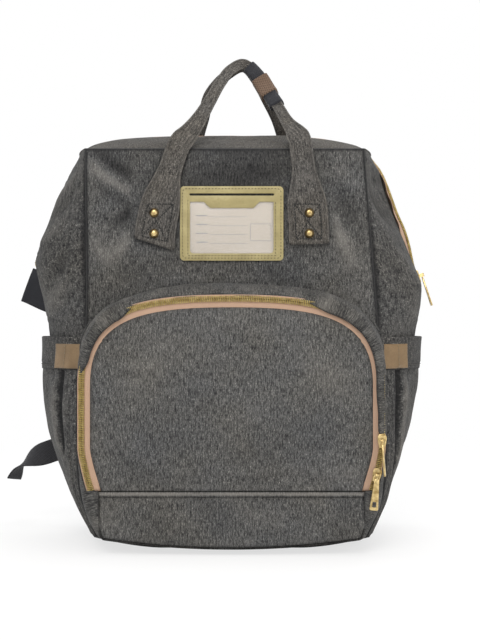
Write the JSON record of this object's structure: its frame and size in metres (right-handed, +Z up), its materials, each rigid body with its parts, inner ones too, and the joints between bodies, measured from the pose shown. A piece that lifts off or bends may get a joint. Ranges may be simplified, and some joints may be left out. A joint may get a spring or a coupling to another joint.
{
  "type": "diaper backpack",
  "caption": "Wide-mouth diaper backpack with twin carry handles, a zipped front pocket, side pockets, a clear name holder and padded shoulder straps",
  "frame": {"origin": "middle of the flat base that the bag stands on, under the middle of its depth", "axes": "+X is right as the front is seen, the front faces -Y, +Z is up"},
  "size_m": [0.4534, 0.2438, 0.4876],
  "materials": {
    "cloth": "heathered grey woven polyester, matt, fine pale and dark vertical streaks",
    "hem": "the same heathered cloth, doubled and topstitched",
    "handle": "heathered grey-brown woven cloth, topstitched along both edges",
    "zip_tape": "pinkish tan woven zip tape",
    "zip_teeth": "pale gold zip teeth",
    "gold_metal": "polished pale gold zip hardware and rivets",
    "holder": "olive-gold grained faux leather with dark stitching",
    "film": "clear soft film",
    "card": "pale beige card",
    "tab": "tan faux leather with a pale stitch",
    "ring": "brown ribbed webbing",
    "dark_cloth": "charcoal padded cloth",
    "webbing": "black woven webbing",
    "plastic": "black moulded plastic",
    "board": "dark stiffening board",
    "wire": "spring steel wire"
  },
  "bodies": {
    "bag": {"front_panel": "cloth", "back_panel": "cloth", "base_panel": "cloth", "side_gusset_left": "cloth", "side_gusset_right": "cloth", "side_pocket_left": "cloth", "side_pocket_right": "cloth", "front_pocket_gusset": "cloth", "front_pocket_lower_panel": "cloth", "strap_anchor_left": "cloth", "strap_anchor_right": "cloth", "pocket_hem_left": "hem", "pocket_hem_right": "hem", "handle_patch_front_left": "handle", "handle_patch_front_right": "handle", "handle_patch_back_left": "handle", "handle_patch_back_right": "handle", "pocket_zip_tape": "zip_tape", "side_zip_tape_left": "zip_tape", "side_zip_tape_right": "zip_tape", "pocket_zip_teeth": "zip_teeth", "side_zip_teeth_left": "zip_teeth", "side_zip_teeth_right": "zip_teeth", "rivet_left_lower": "gold_metal", "rivet_left_upper": "gold_metal", "rivet_right_lower": "gold_metal", "rivet_right_upper": "gold_metal", "name_holder_frame": "holder", "name_holder_film": "film", "name_holder_card": "card", "pocket_tab_left": "tab", "pocket_tab_right": "tab", "base_board": "board"},
    "lid_front_half": {"lid_front": "cloth", "lid_teeth_front": "zip_teeth", "mouth_wire_front": "wire"},
    "lid_back_half": {"lid_back": "cloth", "lid_teeth_back": "zip_teeth", "mouth_wire_back": "wire"},
    "front_handle": {"handle_front": "handle", "handle_wrap_pad": "dark_cloth", "handle_wrap_ring": "ring"},
    "back_handle": {"handle_back": "handle"},
    "pocket_flap": {"front_flap": "cloth", "flap_zip_tape": "zip_tape", "flap_zip_teeth": "zip_teeth"},
    "upper_slider": {"pocket_slider_upper": "gold_metal"},
    "upper_pull": {"pocket_pull_upper": "gold_metal"},
    "lower_slider": {"pocket_slider_lower": "gold_metal"},
    "lower_pull": {"pocket_pull_lower": "gold_metal"},
    "main_slider_body": {"main_slider": "gold_metal"},
    "main_pull_body": {"main_pull": "gold_metal"},
    "left_strap": {"strap_pad_left": "dark_cloth", "strap_webbing_left": "webbing", "ladder_lock_left": "plastic"},
    "right_strap": {"strap_pad_right": "dark_cloth", "strap_webbing_right": "webbing", "ladder_lock_right": "plastic"}
  },
  "joints": [
    {"name": "lid_front_open", "type": "hinge", "parent": "bag", "child": "lid_front_half", "pos_m": [0, -0.0785, 0.3883], "axis": [1, 0, 0], "range_deg": [0, 80]},
    {"name": "lid_back_open", "type": "hinge", "parent": "bag", "child": "lid_back_half", "pos_m": [0, 0.0785, 0.3883], "axis": [-1, 0, 0], "range_deg": [0, 80]},
    {"name": "front_handle_swing", "type": "hinge", "parent": "bag", "child": "front_handle", "pos_m": [0, -0.0856, 0.3883], "axis": [1, 0, 0], "range_deg": [0, 160]},
    {"name": "back_handle_swing", "type": "hinge", "parent": "bag", "child": "back_handle", "pos_m": [0, 0.0856, 0.3883], "axis": [-1, 0, 0], "range_deg": [0, 160]},
    {"name": "pocket_flap_open", "type": "hinge", "parent": "bag", "child": "pocket_flap", "pos_m": [0, -0.124, 0.06], "axis": [1, 0, 0], "range_deg": [0, 100]},
    {"name": "upper_slider_travel", "type": "slide", "parent": "pocket_flap", "child": "upper_slider", "axis": [0, 0, 1], "range_m": [0, 0.044]},
    {"name": "upper_pull_swing", "type": "hinge", "parent": "upper_slider", "child": "upper_pull", "pos_m": [0.14105, -0.1289, 0.108], "axis": [-1, 0, 0], "range_deg": [0, 165]},
    {"name": "lower_slider_travel", "type": "slide", "parent": "bag", "child": "lower_slider", "axis": [0.2079, 0, 0.9781], "range_m": [-0.006, 0]},
    {"name": "lower_pull_swing", "type": "hinge", "parent": "lower_slider", "child": "lower_pull", "pos_m": [0.13614, -0.1289, 0.076], "axis": [-0.9781, 0, 0.2079], "range_deg": [0, 100]},
    {"name": "main_slider_travel", "type": "slide", "parent": "bag", "child": "main_slider_body", "axis": [-0.314, 0, 0.9494], "range_m": [0, 0.1]},
    {"name": "main_pull_swing", "type": "hinge", "parent": "main_slider_body", "child": "main_pull_body", "pos_m": [0.19501, 0, 0.26722], "axis": [0, -1, 0], "range_deg": [0, 150]},
    {"name": "left_strap_swing", "type": "hinge", "parent": "bag", "child": "left_strap", "pos_m": [-0.024, 0.0803, 0.371], "axis": [1, 0, 0], "range_deg": [0, 30]},
    {"name": "right_strap_swing", "type": "hinge", "parent": "bag", "child": "right_strap", "pos_m": [0.026, 0.0803, 0.371], "axis": [1, 0, 0], "range_deg": [0, 30]}
  ],
  "couplings": [
    {"joint": "front_handle_swing", "follows": "lid_front_open", "ratio": 2},
    {"joint": "back_handle_swing", "follows": "lid_back_open", "ratio": 2}
  ]
}
